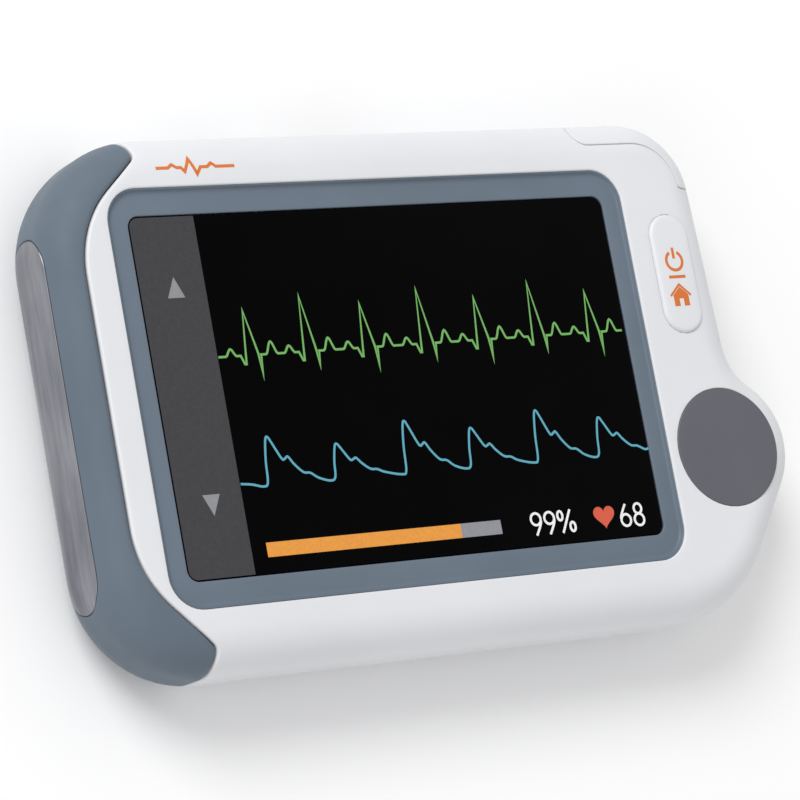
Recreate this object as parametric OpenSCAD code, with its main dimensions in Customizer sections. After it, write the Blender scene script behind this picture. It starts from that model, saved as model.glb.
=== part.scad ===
// Pocket patient monitor: a two-shell handheld case with a touch screen, three ECG electrodes,
// a home key and a sprung fingertip clip in its top right corner.
// It lies on its back. X runs along the length, Y towards its top edge, Z out of the screen.

/* [Body] */
// Length over the thumb lobe
body_l = 88; // [84:0.5:92]
// Height over the top and bottom edges
body_w = 56; // [54:0.5:58]
// Thickness from the back to the front face
body_t = 12.6; // [12.4:0.1:13]
// Radius that rounds the front edge
front_round = 4.5; // [3.5:0.1:4.8]
// Radius that rounds the back edge
back_round = 5.5; // [4.5:0.1:5.6]
// Wall of both shells
wall = 1.5; // [1.4:0.1:1.6]
// Height of the joint between the shells
split_z = 6.3; // [6.1:0.1:6.4]

/* [Screen] */
// Width of the cover glass
glass_w = 58.4; // [56:0.2:58.6]
// Height of the cover glass
glass_h = 37.6; // [36:0.2:38]
// Middle of the screen along X
screen_x = -5.4; // [-5.8:0.1:-5]
// Middle of the screen along Y
screen_y = 0.3; // [0:0.1:0.6]
// Depth of the glass below the front face
glass_drop = 0.5; // [0.3:0.1:0.6]

/* [Key and electrodes] */
// Width of the home key
key_w = 5.1; // [4.6:0.1:5.4]
// Length of the home key
key_l = 13.4; // [12:0.2:14]
// How far the key stands above the front face
key_proud = 0.4; // [0.3:0.05:0.5]
// Radius of the thumb electrode
thumb_r = 6.6; // [6:0.1:7]
// Length of the electrode along the left side
palm_l = 38.6; // [34:0.2:40]

/* [Finger clip] */
// Radius of the finger channel inside its liner
finger_r = 4; // [3.6:0.1:4.1]
// Radius of the clip's hinge pin
pin_r = 0.45; // [0.4:0.01:0.5]

/* [Hidden] */
$fn = 48;
// Small amounts: overlap of joined solids, room round a moving piece, room round a seated piece,
// thickness of a glue line, how far a cut runs past a face, and a length that clears the whole case.
eps = 0.01;
gap = 0.12;
fit = 0.03;
bond = 0.02;
past = 1;
beyond = 60;

half_l = body_l / 2;
half_w = body_w / 2;

// Plan outline as circles joined by tangent lines, anticlockwise: [x, y, radius].
// A negative radius is a hollow bend.
lobe_r = 8.7;
outline = [
    [-half_l + 12, -half_w + 12, 12],
    [25.4, -half_w + 15, 15],
    [half_l - lobe_r, -9.4, lobe_r],
    [half_l - 0.5, 2.1, -5.4],
    [29, half_w - 8.5, 8.5],
    [-half_l + 13, half_w - 13, 13]
];
bend_step = 10;
round_steps = 4;

// Soft grip's plan region. It follows the white rim's corners and ends in a round tip at each side.
rim_r = 11.7;
rim_x = -28.6;
tip_r = 1.3;
grip_t = 1;
grip_region = [
    [-beyond, -40, 0],
    [-34.6, -40, 0],
    [-34, -25.9, tip_r],
    [rim_x, -12.7, -rim_r],
    [rim_x, 13.2, -rim_r],
    [-33.9, 26, tip_r],
    [-33.9, 40, 0],
    [-beyond, 40, 0]
];

// Finger clip: the flap hinges at its left end and covers a channel that the fingertip lies in.
hinge = [23.4, half_w - 1.5];
hinge_round = 1.5;
flap_t = 1.2;
flap_arc = [29, half_w - 8.5];
flap_arc_r = 5.5;
flap_end_y = flap_arc[1] + 0.2;
knuckle_r = 1.25;
knuckle_z = 6.5;
knuckle_bore_r = pin_r + 0.05;
ear_r = 0.9;
ear_arm_l = 4.2;
ear_arm_w = 1.4;
ear_t = 0.8;
ear_low_z = 4.3;
ear_high_z = 8.3;
spring_wire_r = 0.11;
spring_coil_r = 0.72;
spring_turns = 3;
spring_pitch = 0.3;
spring_legs = [1.3, 2.6];
seat_wall = 1;
liner_t = 0.6;
channel_x = 25.4;
channel_y = 24.4;
channel_z = split_z;
window_x = 27.8;
window_r = 1.1;
pad_x = [25.8, 33];
pad_w = 5.6;
pad_t = 0.7;

// Screen stack, from the glass down.
bezel_w = 63.2;
bezel_h = 43.4;
bezel_t = 0.8;
bezel_r = 3.6;
bezel_lip = 0.6;
bezel_foot = 1.2;
glass_r = 1.2;
glass_t = 1;
glass_z = body_t - glass_drop - glass_t;
window_room = 0.6;
gasket_t = 0.2;
gasket_w = 1.5;
lcd_w = 56.4;
lcd_h = glass_h - 0.2;
lcd_r = 0.4;
lcd_t = 1.5;
lcd_z = glass_z - gasket_t - lcd_t;
backlight_t = 0.7;
backlight_z = lcd_z - backlight_t;
holder_over = 1;
holder_rim = 2;
flex_w = 12;
film_t = 0.15;
board_z = 6.6;
board_t = 0.8;
board_top = board_z + board_t;

// Key and its switch.
key = [31.5, 9.9];
key_flange_t = 0.8;
key_flange_over = 0.8;
key_flange_z = body_t - wall - bond - key_flange_t;
key_stem_r = 1.2;
switch_at = [key[0], 6.5];
switch_w = 5.2;
switch_h = 1.5;
switch_floor = 0.5;
plunger_r = 0.9;
plunger_top = board_top + switch_h + 0.7;

// Electrodes and the leaf springs behind them.
thumb = [34, -9.8];
thumb_t = 0.7;
thumb_proud = 0.05;
thumb_boss_r = 3;
stud_r = 1;
stud_tip_z = board_top + 1.4;
palm_y = -0.7;
palm_z = 6.2;
palm_w = 7.4;
palm_leaf_x = -half_l + wall + 1;
back_pad = [24.5, 3];
back_pad_w = 11;
back_pad_l = 16;
back_pad_t = 0.8;
back_pad_z = 0.1;
back_stud_z = 3.2;
leaf_t = 0.2;
leaf_w = 1.6;
leaf_l = 2;
palm_leaf_w = 2.4;

// Fixings and ports.
screws = [[-27.5, 23.4], [-27.5, -23.4], [14, 23.4], [19, -23.4]];
screw_r = 0.8;
screw_head_r = 1.5;
screw_head_t = 0.9;
screw_head_z = 0.6;
screw_tip_z = 9.4;
slot_l = 1.8;
slot_w = 0.4;
slot_t = 0.45;
boss_r = 2.1;
boss_root = 0.2;
post_r = 1.1;
board_posts = [[-33, 17.4], [-33, -17.4], [9, 18], [8.6, -18.2], [33, -9.8]];
socket_x = -2;
socket_w = 10;
socket_h = 2.6;
socket_z = 3.5;
socket_y = 20.4;
socket_skin = 0.3;
tongue_w = 7.2;
tongue_t = 0.7;
pin_pitch = 0.75;
strap_x = -18;
strap_w = 5;
strap_bar_r = 0.6;
strap_y = half_w - 2.9;
strap_z = 2.4;
strap_room = 1.8;
strap_wall = 1.2;
strap_grip = 0.8;
label_size = [26, 16];
label_pos = [-24, -8];
label_t = 0.1;
label_z = 0.04;
label_edge = 0.1;

// Electronics.
board_edge = [
    [-36.5, -20.6], [22, -20.6], [31, -17], [38.4, -12], [38.4, -7],
    [34, -2], [34, 17.4], [24, 17.4], [24, 20.2], [-36.5, 20.2]
];
can_pos = [-22, -9];
can_w = 16;
can_h = 0.65;
can_t = 0.2;
antenna_pos = [26, -17.4];
antenna_size = [4, 1.8, 1];
battery_pos = [-30, -15, 1.7];
battery_size = [38, 30, 4.2];
battery_tab = [1.6, 18, 2.4];
battery_pad_in = 4;
speaker = [24, -14.2];
speaker_r = 5.6;
speaker_h = 2.4;
speaker_z = wall + 0.3;
magnet_r = 3.6;
magnet_h = 0.6;
sound_hole_r = 0.5;
sound_ring_r = 2;

white = "WhiteSmoke";
blue_grey = "SlateGray";
steel = "Silver";
copper = "DarkGoldenrod";

// Direction of travel, in degrees, along the tangent from circle a to circle b.
function heading(a, b) =
    let (d = [b[0] - a[0], b[1] - a[1]])
    atan2(d[1], d[0]) + asin((a[2] - b[2]) / norm(d));

// Turn from one heading to the next, between -180 and 180 degrees.
function turn(a, b) = let (t = (b - a + 720) % 360) t > 180 ? t - 360 : t;

// Headings at which a bend from a to b has its points: both ends, and each whole step between.
function bend(a, b) =
    let (lo = ceil(min(a, b) / bend_step + 0.2), hi = floor(max(a, b) / bend_step - 0.2))
    concat([a], [for (k = [0 : 1 : hi - lo]) (a < b ? lo + k : hi - k) * bend_step], [b]);

// Points of a belt of circles, set in by d. A circle of radius 0 is a plain corner.
function belt(circles, d = 0) =
    let (n = len(circles), h = [for (i = [0 : n - 1]) heading(circles[i], circles[(i + 1) % n])])
    [for (i = [0 : n - 1])
        let (c = circles[i], h0 = h[(i + n - 1) % n])
        for (a = c[2] == 0 ? [h0] : bend(h0, h0 + turn(h0, h[i])))
            [c[0] + (c[2] - d) * sin(a), c[1] - (c[2] - d) * cos(a)]];

// Points on an arc about c, from angle a0 to a1.
function arc(c, r, a0, a1, steps = 12) =
    [for (k = [0 : steps])
        let (a = a0 + (a1 - a0) * k / steps)
        [c[0] + r * cos(a), c[1] + r * sin(a)]];

// Rings of the case's surface set in by t: [height, inset], from the bottom up.
function back_rings(t) =
    [for (k = [0 : round_steps])
        let (a = 90 * k / round_steps)
        [back_round - (back_round - t) * cos(a), back_round - (back_round - t) * sin(a)]];
function front_rings(t) =
    [for (k = [round_steps : -1 : 0])
        let (a = 90 * k / round_steps)
        [body_t - front_round + (front_round - t) * cos(a), front_round - (front_round - t) * sin(a)]];

// Closed solid through rings of the plan outline.
module loft(rings) {
    m = len(rings);
    n = len(belt(outline));
    points = [for (r = rings) for (p = belt(outline, r[1])) [p[0], p[1], r[0]]];
    bottom = [for (i = [0 : n - 1]) i];
    top = [for (i = [n - 1 : -1 : 0]) (m - 1) * n + i];
    sides = [for (j = [0 : m - 2]) for (i = [0 : n - 1])
        let (a = j * n + i, b = j * n + (i + 1) % n)
        each [[a, b + n, b], [a, a + n, b + n]]];
    polyhedron(points, concat([bottom], sides, [top]));
}

module case_block(t = 0) { loft(concat(back_rings(t), front_rings(t))); }
module front_block(t = 0) { loft(concat([[split_z, t]], front_rings(t))); }
module back_block(t = 0) { loft(concat(back_rings(t), [[split_z, t]])); }

module plan(points, z0 = -past, z1 = body_t + past) {
    translate([0, 0, z0]) linear_extrude(z1 - z0) polygon(points);
}

module tube_z(p, r, z0, z1) { translate([p[0], p[1], z0]) cylinder(r = r, h = z1 - z0); }

module slab(x0, x1, y0, y1, z0, z1) { translate([x0, y0, z0]) cube([x1 - x0, y1 - y0, z1 - z0]); }

// Slab about the middle p, w long in X and l in Y.
module pad_at(p, w, l, z0, z1) { slab(p[0] - w / 2, p[0] + w / 2, p[1] - l / 2, p[1] + l / 2, z0, z1); }

// Upright stadium: straight sides along Y, round ends.
module stadium(p, w, l, z0, z1) {
    e = (l - w) / 2;
    for (s = [-1, 1]) tube_z([p[0], p[1] + s * e], w / 2, z0, z1);
    pad_at(p, w, 2 * e, z0, z1);
}

// Rectangle with round corners about the middle of the screen.
module screen_plate(w, h, r, z0, z1) {
    mid = [screen_x, screen_y];
    for (sx = [-1, 1]) for (sy = [-1, 1])
        tube_z(mid + [sx * (w / 2 - r), sy * (h / 2 - r)], r, z0, z1);
    pad_at(mid, w - 2 * r, h, z0, z1);
    pad_at(mid, w, h - 2 * r, z0, z1);
}

// Round wire along a path, with a ring at each of its points.
module wire(path, r = 0.3, sides = 8) {
    n = len(path);
    function unit(v) = v / norm(v);
    function along(i) = unit(path[min(i + 1, n - 1)] - path[max(i - 1, 0)]);
    function side(t) = unit(cross(t, abs(t[2]) > 0.9 ? [1, 0, 0] : [0, 0, 1]));
    points = [for (i = [0 : n - 1])
        let (t = along(i), u = side(t), v = cross(t, u))
        for (k = [0 : sides - 1])
            path[i] + r * (u * cos(360 * k / sides) + v * sin(360 * k / sides))];
    start = [for (k = [sides - 1 : -1 : 0]) k];
    end = [for (k = [0 : sides - 1]) (n - 1) * sides + k];
    skin = [for (i = [0 : n - 2]) for (k = [0 : sides - 1])
        let (a = i * sides + k, b = i * sides + (k + 1) % sides)
        each [[a, b, b + sides], [a, b + sides, a + sides]]];
    polyhedron(points, concat([start], skin, [end]));
}

// Plan region of the flap, grown by g. Its left end is round about the hinge, so it turns in its seat.
function flap_region(g) = concat(
    [[hinge[0] - g / 2, 40]],
    arc(hinge, hinge_round + g, 90, 270),
    arc(flap_arc, flap_arc_r - g, 90, 2),
    [[beyond, flap_end_y - g], [beyond, 40]]
);

// Fingertip channel along X.
module channel(r, x0) {
    translate([x0, channel_y, channel_z]) rotate([0, 90, 0]) cylinder(r = r, h = beyond);
}

// Wall behind the flap that closes the case.
module seat_walls(z0, z1) {
    intersection() {
        case_block(wall / 2);
        difference() {
            plan(flap_region(gap + seat_wall), z0, z1);
            plan(flap_region(gap), z0 - past, z1 + past);
        }
    }
}

// Ear of the clip's hinge, with its arm into the case.
module hinge_ear(z0, arm_l = ear_arm_l) {
    tube_z(hinge, ear_r, z0, z0 + ear_t);
    pad_at(hinge - [arm_l / 2, 0], arm_l, ear_arm_w, z0, z0 + ear_t);
}

// Everything that the flap and the finger liner need cleared from the case, but for one hinge ear.
module clip_cut(ear_z) {
    difference() {
        plan(flap_region(gap));
        hinge_ear(ear_z, ear_arm_l + past);
    }
    tube_z(hinge, pin_r + fit / 2, -past, body_t - wall);
    channel(finger_r + liner_t + fit, channel_x - fit);
}

// Layer of the case that the soft grip fills.
module grip_recess() {
    difference() {
        plan(belt(grip_region));
        case_block(grip_t);
    }
}

// Stadium along Y on the left side, grown by g, from beyond the case to x1.
module palm_slot(g, x1) {
    e = (palm_l - palm_w) / 2;
    r = palm_w / 2 + g;
    for (s = [-1, 1])
        translate([-beyond, palm_y + s * e, palm_z]) rotate([0, 90, 0]) cylinder(r = r, h = beyond + x1);
    slab(-beyond, x1, palm_y - e, palm_y + e, palm_z - r, palm_z + r);
}

module palm_stud(r, x1) {
    x0 = grip_t - 0.4 - half_l;
    translate([x0, palm_y, palm_z]) rotate([0, 90, 0]) cylinder(r = r, h = x1 - x0);
}

module screw_holes(r, z0, z1) { for (s = screws) tube_z(s, r, z0, z1); }

module strap_rod(r) {
    l = strap_w + 2 * strap_grip;
    translate([strap_x - l / 2, strap_y, strap_z]) rotate([0, 90, 0]) cylinder(r = r, h = l);
}

// Space for the strap behind its bar, grown by g.
module strap_notch(g) {
    w = strap_w / 2 + g;
    slab(strap_x - w, strap_x + w, strap_y - strap_room - g, beyond, -past, strap_z + strap_room + g);
}

module sound_holes() {
    z1 = wall + past;
    tube_z(speaker, sound_hole_r, -past, z1);
    for (k = [0 : 5]) tube_z(speaker + sound_ring_r * [cos(60 * k), sin(60 * k)], sound_hole_r, -past, z1);
}

module socket_cut() {
    mid = [socket_x, socket_y + beyond / 2];
    pad_at(mid, socket_w + 2 * fit, beyond, socket_z - fit, socket_z + socket_h + fit);
}

module label_plate(inset, z0, z1) {
    slab(label_pos[0] + inset, label_pos[0] + label_size[0] - inset,
        label_pos[1] + inset, label_pos[1] + label_size[1] - inset, z0, z1);
}

// Round sensor window along Y.
module window(y0, y1, g = 0) {
    translate([window_x, y1, channel_z]) rotate([90, 0, 0]) cylinder(r = window_r + g, h = y1 - y0);
}

module front_housing() {
    ceiling = body_t - wall + boss_root;
    color(white) difference() {
        union() {
            difference() {
                front_block();
                translate([0, 0, -eps]) front_block(wall);
            }
            screw_bosses(split_z, ceiling);
            tube_z(thumb, thumb_boss_r, stud_tip_z + boss_root, ceiling);
            seat_walls(split_z, body_t);
            hinge_ear(ear_high_z);
        }
        grip_recess();
        clip_cut(ear_high_z);
        screen_plate(bezel_w + 2 * fit, bezel_h + 2 * fit, bezel_r, body_t - bezel_t - fit, body_t + past);
        screen_plate(glass_w + 2 * window_room, glass_h + 2 * window_room, glass_r + window_room,
            board_top, body_t + past);
        stadium(key, key_w + 2 * gap, key_l + 2 * gap, board_top, body_t + past);
        tube_z(thumb, thumb_r + fit, body_t - thumb_t, body_t + past);
        tube_z(thumb, stud_r + fit, board_top, body_t + past);
        palm_stud(stud_r + fit, palm_leaf_x);
        screw_holes(screw_r + fit / 2, split_z - past, screw_tip_z + boss_root);
    }
}

module screw_bosses(z0, z1) { screw_holes(boss_r, z0, z1); }

module rear_housing() {
    color(white) difference() {
        union() {
            difference() {
                back_block();
                translate([0, 0, eps]) back_block(wall);
            }
            screw_bosses(wall / 2, split_z);
            for (p = board_posts) tube_z(p, post_r, wall / 2, board_z);
            intersection() {
                back_block();
                strap_notch(strap_wall);
            }
            seat_walls(0, split_z);
            hinge_ear(ear_low_z);
        }
        grip_recess();
        clip_cut(ear_low_z);
        screw_holes(screw_r + fit, -past, split_z + past);
        screw_holes(screw_head_r + gap, -past, screw_head_z + screw_head_t);
        stadium(back_pad, back_pad_w + 2 * fit, back_pad_l + 2 * fit, -past, back_pad_z + back_pad_t);
        tube_z(back_pad, stud_r + fit, -past, back_stud_z);
        palm_stud(stud_r + fit, palm_leaf_x);
        socket_cut();
        strap_notch(0);
        strap_rod(strap_bar_r + fit / 2);
        sound_holes();
        label_plate(0, -past, label_z + label_t);
    }
}

module grip_bumper() {
    color(blue_grey) difference() {
        intersection() {
            case_block();
            plan(belt(grip_region, gap / 2));
        }
        case_block(grip_t - fit);
        palm_slot(fit, 0);
    }
}

module palm_electrode() {
    color(steel) {
        difference() {
            intersection() {
                case_block();
                palm_slot(0, 0);
            }
            case_block(grip_t - fit);
            slab(0, beyond, -beyond, beyond, -past, body_t + past);
        }
        palm_stud(stud_r, palm_leaf_x - bond);
    }
}

module screen_bezel() {
    z0 = body_t - bezel_t;
    color(blue_grey) difference() {
        screen_plate(bezel_w, bezel_h, bezel_r, z0, body_t - thumb_proud);
        screen_plate(glass_w + 2 * fit, glass_h + 2 * fit, glass_r, z0 - past, body_t + past);
        bezel_slope();
    }
}

// Sloping inner face of the bezel, from its lip at the case's face down to its foot at the glass.
module bezel_slope() {
    foot_z = body_t - glass_drop + thumb_proud;
    lip_z = body_t + bezel_t / 2;
    foot = 2 * bezel_foot;
    lip = 2 * bezel_lip;
    hull() {
        screen_plate(glass_w + foot, glass_h + foot, glass_r + bezel_foot, foot_z, foot_z + eps);
        screen_plate(bezel_w - lip, bezel_h - lip, bezel_r - bezel_lip, lip_z, lip_z + eps);
    }
}

module touch_glass() {
    color("Black") screen_plate(glass_w, glass_h, glass_r, glass_z, glass_z + glass_t);
}

module lcd_gasket() {
    color("DimGray") difference() {
        screen_plate(lcd_w, lcd_h, lcd_r, glass_z - gasket_t, glass_z);
        screen_plate(lcd_w - 2 * gasket_w, lcd_h - 2 * gasket_w, lcd_r, glass_z - past, glass_z + past);
    }
}

module lcd_panel() { color("DarkSlateGray") screen_plate(lcd_w, lcd_h, lcd_r, lcd_z, lcd_z + lcd_t); }

module lcd_backlight() { color("Gainsboro") screen_plate(lcd_w, lcd_h, lcd_r, backlight_z, lcd_z - eps); }

module lcd_holder() {
    w = lcd_w + 2 * holder_over;
    h = lcd_h + holder_over;
    z0 = board_top - past;
    z1 = backlight_z + past;
    color("Ivory") difference() {
        screen_plate(w, h, lcd_r, board_top, backlight_z);
        screen_plate(lcd_w - 2 * holder_rim, lcd_h - 2 * holder_rim, lcd_r, z0, z1);
        pad_at([screen_x - w / 2, 0], 4 * holder_rim, flex_w + 2 * holder_over, z0, z1);
    }
}

// Flat cable that leaves the panel's left end, folds back and lands on the board.
module lcd_flex() {
    fold_r = (backlight_z - board_top) / 2;
    fold_x = screen_x - lcd_w / 2 - 0.6;
    tail_l = 4;
    color(copper) translate([fold_x, flex_w / 2, board_top]) rotate([90, 0, 0]) linear_extrude(flex_w) {
        difference() {
            translate([0, fold_r]) circle(r = fold_r);
            translate([0, fold_r]) circle(r = fold_r - film_t);
            translate([0, -past]) square(2 * past + 2 * fold_r);
        }
        translate([-eps, 0]) square([tail_l, film_t]);
        translate([-eps, 2 * fold_r - film_t]) square([tail_l, film_t]);
    }
}

module home_key() {
    flange_at = key - [key_flange_over, 0];
    color(white) {
        stadium(key, key_w, key_l, key_flange_z + eps, body_t + key_proud);
        stadium(flange_at, key_w, key_l + 2 * key_flange_over, key_flange_z, key_flange_z + key_flange_t);
        tube_z(switch_at, key_stem_r, plunger_top, key_flange_z + eps);
    }
}

module switch_body() {
    top = board_top + switch_h;
    color("DimGray") difference() {
        pad_at(switch_at, switch_w, switch_w, board_top, top);
        tube_z(switch_at, plunger_r + 0.05, board_top + switch_floor, top + past);
    }
}

// It stands clear of the switch's floor by the key's travel.
module switch_plunger() {
    z0 = board_top + switch_floor + key_proud + bond;
    color("Black") tube_z(switch_at, plunger_r, z0, plunger_top - bond);
}

module thumb_electrode() {
    color(steel) {
        tube_z(thumb, thumb_r, body_t - thumb_t, body_t + thumb_proud);
        tube_z(thumb, stud_r, stud_tip_z, body_t - thumb_t + eps);
    }
}

// Leaf spring between the board and an electrode's stud: foot, riser and nose.
module leaf(p, z0, z1, side) {
    pad_at(p, leaf_l, leaf_w, z0, z0 + leaf_t);
    pad_at(p + [side * (leaf_l - leaf_t) / 2, 0], leaf_t, leaf_w, z0, z1);
    pad_at(p, leaf_l, leaf_w, z1 - leaf_t, z1);
}

module thumb_contact() { color(copper) leaf(thumb, board_top, stud_tip_z - bond, 1); }

module back_electrode() {
    color(steel) {
        stadium(back_pad, back_pad_w, back_pad_l, back_pad_z, back_pad_z + back_pad_t - bond);
        tube_z(back_pad, stud_r, back_pad_z + back_pad_t / 2, back_stud_z);
    }
}

module back_contact() { color(copper) leaf(back_pad, back_stud_z + bond, board_z, -1); }

// Leaf that carries the palm electrode's signal to the board's left end.
module palm_contact() {
    x1 = board_edge[0][0] + palm_leaf_w / 2;
    y0 = palm_y - palm_leaf_w / 2;
    y1 = palm_y + palm_leaf_w / 2;
    top = board_top + leaf_t;
    color(copper) {
        slab(palm_leaf_x, palm_leaf_x + leaf_t, y0, y1, palm_z - palm_leaf_w / 2, top);
        slab(palm_leaf_x, x1, y0, y1, board_top + bond, top);
    }
}

module main_board() { color("DarkGreen") plan(board_edge, board_z, board_top); }

module shield_can() {
    color(steel) difference() {
        translate([can_pos[0], can_pos[1], board_z - can_h]) cube([can_w, can_w, can_h]);
        translate([can_pos[0] + can_t, can_pos[1] + can_t, board_z - can_h + can_t])
            cube([can_w - 2 * can_t, can_w - 2 * can_t, can_h]);
    }
}

module board_chips() {
    radio_t = 0.4;
    chip_t = 0.9;
    small_t = 0.5;
    color("Black") {
        pad_at([-15, -1], 8, 8, board_z - radio_t, board_z);
        pad_at([13, 11.5], 5, 5, board_z - chip_t, board_z);
        pad_at([14, -1], 4, 4, board_z - chip_t, board_z);
        for (k = [0 : 4]) pad_at([11 + 1.6 * k, -17.7], 1, 0.6, board_z - small_t, board_z);
    }
}

module radio_antenna() {
    color("White") translate([antenna_pos[0], antenna_pos[1], board_top]) cube(antenna_size);
}

module battery_pouch() {
    tab_y = (battery_size[1] - battery_tab[1]) / 2;
    tab_z = (battery_size[2] - battery_tab[2]) / 2;
    color(steel) translate(battery_pos) cube(battery_size);
    color("Goldenrod") translate(battery_pos + [battery_size[0], tab_y, tab_z]) cube(battery_tab);
}

module battery_pad() {
    in = battery_pad_in;
    color("DimGray") translate([battery_pos[0] + in, battery_pos[1] + in, wall + bond])
        cube([battery_size[0] - 2 * in, battery_size[1] - 2 * in, battery_pos[2] - wall - 2 * bond]);
}

// Two wires from the battery's tab up to the board.
module battery_leads() {
    x = battery_pos[0] + battery_size[0] + battery_tab[0] + bond;
    for (y = [4, 5.4])
        color(y < 5 ? "FireBrick" : "Black") wire([
            [x, y, 4],
            [11.2, y, 4],
            [12.2, y + 0.2, 4.4],
            [12.6, y + 0.3, 5.2],
            [12.6, y + 0.3, board_z - eps]
        ]);
}

module speaker_driver() {
    top = speaker_z + speaker_h;
    color("DimGray") tube_z(speaker, speaker_r, speaker_z, top);
    color(steel) tube_z(speaker, magnet_r, top - eps, top + magnet_h);
}

module speaker_mesh() { color("Black") tube_z(speaker, speaker_r - 1, wall + fit, speaker_z - bond); }

// Two wires from the speaker's edge up to the board.
module speaker_leads() {
    lead_r = 0.25;
    z = speaker_z + speaker_h + lead_r + bond;
    for (s = [-0.8, 0.8])
        color(s > 0 ? "FireBrick" : "Black") wire([
            [speaker[0] + s, speaker[1] + 4.8, z],
            [speaker[0] + s, speaker[1] + 6, z + 0.2],
            [speaker[0] + s, speaker[1] + 6.8, z + 0.8],
            [speaker[0] + s, speaker[1] + 7, board_z - eps]
        ], lead_r);
}

module data_socket() {
    back_y = socket_y + fit;
    mouth_y = half_w - 0.5;
    l = mouth_y - back_y;
    mid = [socket_x, back_y + l / 2];
    skin = socket_skin;
    color(steel) difference() {
        pad_at(mid, socket_w, l, socket_z, socket_z + socket_h);
        pad_at(mid + [0, 4 * skin], socket_w - 2 * skin, l, socket_z + skin, socket_z + socket_h - skin);
    }
}

// Tongue with nine contact strips on it.
module socket_contacts() {
    back_y = socket_y + 4 * socket_skin + 2 * fit;
    tip_y = half_w - 1.6;
    mid_z = socket_z + socket_h / 2;
    top = mid_z + tongue_t / 2;
    mid_y = (back_y + tip_y) / 2;
    color("Black") pad_at([socket_x, mid_y], tongue_w, tip_y - back_y, top - tongue_t, top);
    for (k = [-4 : 4])
        color(copper) pad_at([socket_x + pin_pitch * k, mid_y], 0.3, 4.2, top - eps, top + 0.07);
}

module strap_bar() { color(steel) strap_rod(strap_bar_r); }

// Pan-head self-tapping screws with a cross slot.
module case_screws() {
    head_top = screw_head_z + screw_head_t - fit;
    color(steel) for (s = screws) {
        difference() {
            tube_z(s, screw_head_r, screw_head_z, head_top);
            pad_at(s, slot_l, slot_w, screw_head_z - past, screw_head_z + slot_t);
            pad_at(s, slot_w, slot_l, screw_head_z - past, screw_head_z + slot_t);
        }
        tube_z(s, screw_r, head_top - eps, screw_tip_z);
    }
}

module rating_label() { color("Silver") label_plate(label_edge, label_z, label_z + label_t - eps); }

module sensor_flap() {
    color(white) difference() {
        union() {
            difference() {
                intersection() {
                    case_block();
                    plan(flap_region(0));
                }
                case_block(flap_t);
            }
            tube_z(hinge, knuckle_r, knuckle_z, ear_high_z - gap);
        }
        for (z = [ear_low_z, ear_high_z]) {
            tube_z(hinge, ear_r + gap, z - gap, z + ear_t + gap);
            pad_at(hinge - [ear_arm_l / 2, 0], ear_arm_l, ear_arm_l, z - gap, z + ear_t + gap);
        }
        tube_z(hinge, ear_r + gap, ear_low_z, knuckle_z);
        tube_z(hinge, knuckle_bore_r, -past, ear_high_z + ear_t + gap);
    }
}

// Soft pad on the flap's inner face.
module flap_pad() {
    color("DimGray") difference() {
        intersection() {
            case_block(flap_t + bond);
            slab(pad_x[0], pad_x[1], channel_y + past, half_w, channel_z - pad_w / 2, channel_z + pad_w / 2);
        }
        case_block(flap_t + pad_t);
        window(channel_y, half_w, fit);
    }
}

module emitter_window() {
    face_y = half_w - flap_t - pad_t;
    color("DarkRed") window(face_y - bond, face_y + pad_t - fit - bond - bond);
}

module hinge_pin() { color(steel) tube_z(hinge, pin_r, ear_low_z + bond, ear_high_z + ear_t - bond); }

// Torsion spring about the pin: a leg on the case, three turns, and a leg along the flap.
module hinge_spring() {
    steps = 10;
    r = spring_coil_r;
    z0 = ear_low_z + ear_t + 0.2;
    z1 = z0 + spring_turns * spring_pitch;
    coil = [for (i = [0 : spring_turns * steps])
        let (a = 360 * i / steps - 90)
        [hinge[0] + r * cos(a), hinge[1] + r * sin(a), z0 + spring_pitch * i / steps]];
    leg_0 = [hinge[0] - spring_legs[0], hinge[1] - r, z0];
    leg_1 = [hinge[0] + spring_legs[1], hinge[1] - r, z1];
    color(steel) wire(concat([leg_0], coil, [leg_1]), spring_wire_r, 6);
}

module finger_liner() {
    color("DimGray") difference() {
        intersection() {
            case_block(2 * gap);
            channel(finger_r + liner_t, channel_x);
        }
        channel(finger_r, channel_x + liner_t);
        plan(flap_region(gap));
        window(channel_y - 2 * finger_r, channel_y, fit);
    }
}

module detector_window() {
    floor_y = channel_y - finger_r;
    color("DarkRed") window(floor_y - liner_t - gap, floor_y + fit);
}

// Flat cable from the detector down to the board.
module sensor_flex() {
    y1 = channel_y - finger_r - liner_t - gap - bond;
    y0 = 15.8;
    x0 = window_x - 1;
    x1 = window_x + 1;
    color(copper) {
        slab(x0, x1, y1 - film_t, y1, channel_z - 1, board_top + film_t);
        slab(x0, x1, y0, y1, board_top, board_top + film_t);
    }
}

front_housing();
rear_housing();
grip_bumper();
palm_electrode();
screen_bezel();
touch_glass();
lcd_gasket();
lcd_panel();
lcd_backlight();
lcd_holder();
lcd_flex();
home_key();
switch_body();
switch_plunger();
thumb_electrode();
thumb_contact();
back_electrode();
back_contact();
palm_contact();
main_board();
shield_can();
board_chips();
radio_antenna();
battery_pouch();
battery_pad();
battery_leads();
speaker_driver();
speaker_mesh();
speaker_leads();
data_socket();
socket_contacts();
strap_bar();
case_screws();
rating_label();
sensor_flap();
flap_pad();
emitter_window();
hinge_pin();
hinge_spring();
finger_liner();
detector_window();
sensor_flex();
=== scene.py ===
import math

import bmesh
import bpy
import numpy as np
from mathutils import Matrix, Vector
from mathutils.geometry import delaunay_2d_cdt


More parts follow.
